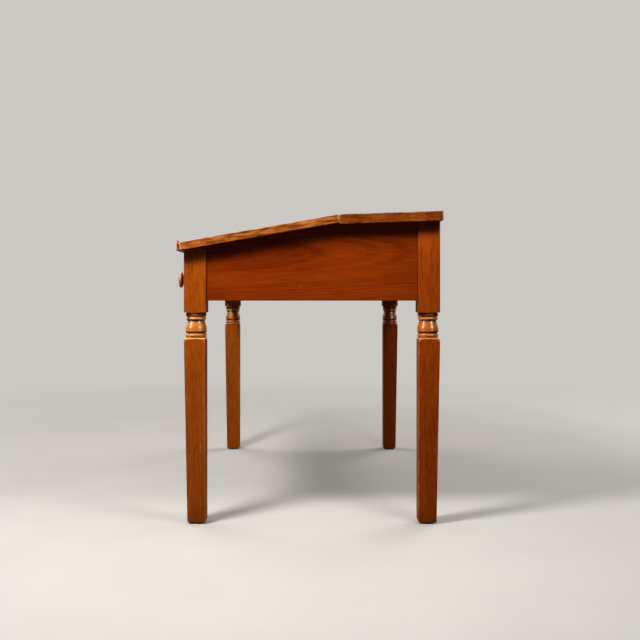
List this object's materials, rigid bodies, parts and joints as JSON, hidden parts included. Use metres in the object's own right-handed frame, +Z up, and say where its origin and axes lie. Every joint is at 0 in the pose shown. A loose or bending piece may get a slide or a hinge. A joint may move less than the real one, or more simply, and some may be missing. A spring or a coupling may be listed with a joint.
{
  "type": "slant-top writing desk",
  "caption": "Slant-top writing desk: hinged lid over a paper well, fixed rear shelf, drawers in the front apron, and legs with a short turned section above tapered square feet.",
  "frame": {"origin": "centre of the footprint, from the knob tips to the shelf's back edge, at floor level", "axes": "+X along the desk to the sitter's right, -Y towards the sitter and the drawer fronts, +Z up"},
  "size_m": [1.372, 0.775, 0.8958],
  "materials": {
    "leg_wood": "stained, satin varnish",
    "case_wood": "stained, satin varnish",
    "top_wood": "stained, worn satin varnish",
    "drawer_wood": "stained, satin varnish",
    "inner_wood": "bare, aged",
    "hinge_brass": "aged, satin",
    "pad_rubber": "matte"
  },
  "bodies": {
    "frame": {"back_panel": "case_wood", "drawer_kicker_left": "inner_wood", "drawer_kicker_middle": "inner_wood", "drawer_kicker_right": "inner_wood", "drawer_rail_lower": "case_wood", "drawer_rail_upper": "case_wood", "drawer_runner_left": "inner_wood", "drawer_runner_middle": "inner_wood", "drawer_runner_right": "inner_wood", "drawer_stile": "case_wood", "end_apron_left": "case_wood", "end_apron_right": "case_wood", "foot_pad_back_left": "pad_rubber", "foot_pad_back_right": "pad_rubber", "foot_pad_front_left": "pad_rubber", "foot_pad_front_right": "pad_rubber", "glue_block_left": "inner_wood", "glue_block_middle": "inner_wood", "glue_block_right": "inner_wood", "hinge_left_fixed_leaf": "hinge_brass", "hinge_left_pin": "hinge_brass", "hinge_middle_fixed_leaf": "hinge_brass", "hinge_middle_pin": "hinge_brass", "hinge_right_fixed_leaf": "hinge_brass", "hinge_right_pin": "hinge_brass", "leg_back_left": "leg_wood", "leg_back_right": "leg_wood", "leg_front_left": "leg_wood", "leg_front_right": "leg_wood", "rear_shelf": "top_wood", "shelf_bearer": "inner_wood", "well_floor": "inner_wood"},
    "lid": {"hinge_left_lid_leaf": "hinge_brass", "hinge_middle_lid_leaf": "hinge_brass", "hinge_right_lid_leaf": "hinge_brass", "lid_clamp_left": "top_wood", "lid_clamp_right": "top_wood", "lid_lip": "top_wood", "lid_panel": "top_wood"},
    "drawer_left": {"drawer_left_back": "inner_wood", "drawer_left_bottom": "inner_wood", "drawer_left_front": "drawer_wood", "drawer_left_inner_knob": "drawer_wood", "drawer_left_inner_side": "inner_wood", "drawer_left_outer_knob": "drawer_wood", "drawer_left_outer_side": "inner_wood"},
    "drawer_right": {"drawer_right_back": "inner_wood", "drawer_right_bottom": "inner_wood", "drawer_right_front": "drawer_wood", "drawer_right_inner_knob": "drawer_wood", "drawer_right_inner_side": "inner_wood", "drawer_right_outer_knob": "drawer_wood", "drawer_right_outer_side": "inner_wood"}
  },
  "joints": [
    {"name": "lid_lift", "type": "hinge", "parent": "frame", "child": "lid", "pos_m": [0, 0.09085, 0.88749], "axis": [-1, 0, 0], "range_deg": [0, 170]},
    {"name": "drawer_left_slide", "type": "slide", "parent": "frame", "child": "drawer_left", "axis": [0, -1, 0], "range_m": [0, 0.38]},
    {"name": "drawer_right_slide", "type": "slide", "parent": "frame", "child": "drawer_right", "axis": [0, -1, 0], "range_m": [0, 0.38]}
  ]
}
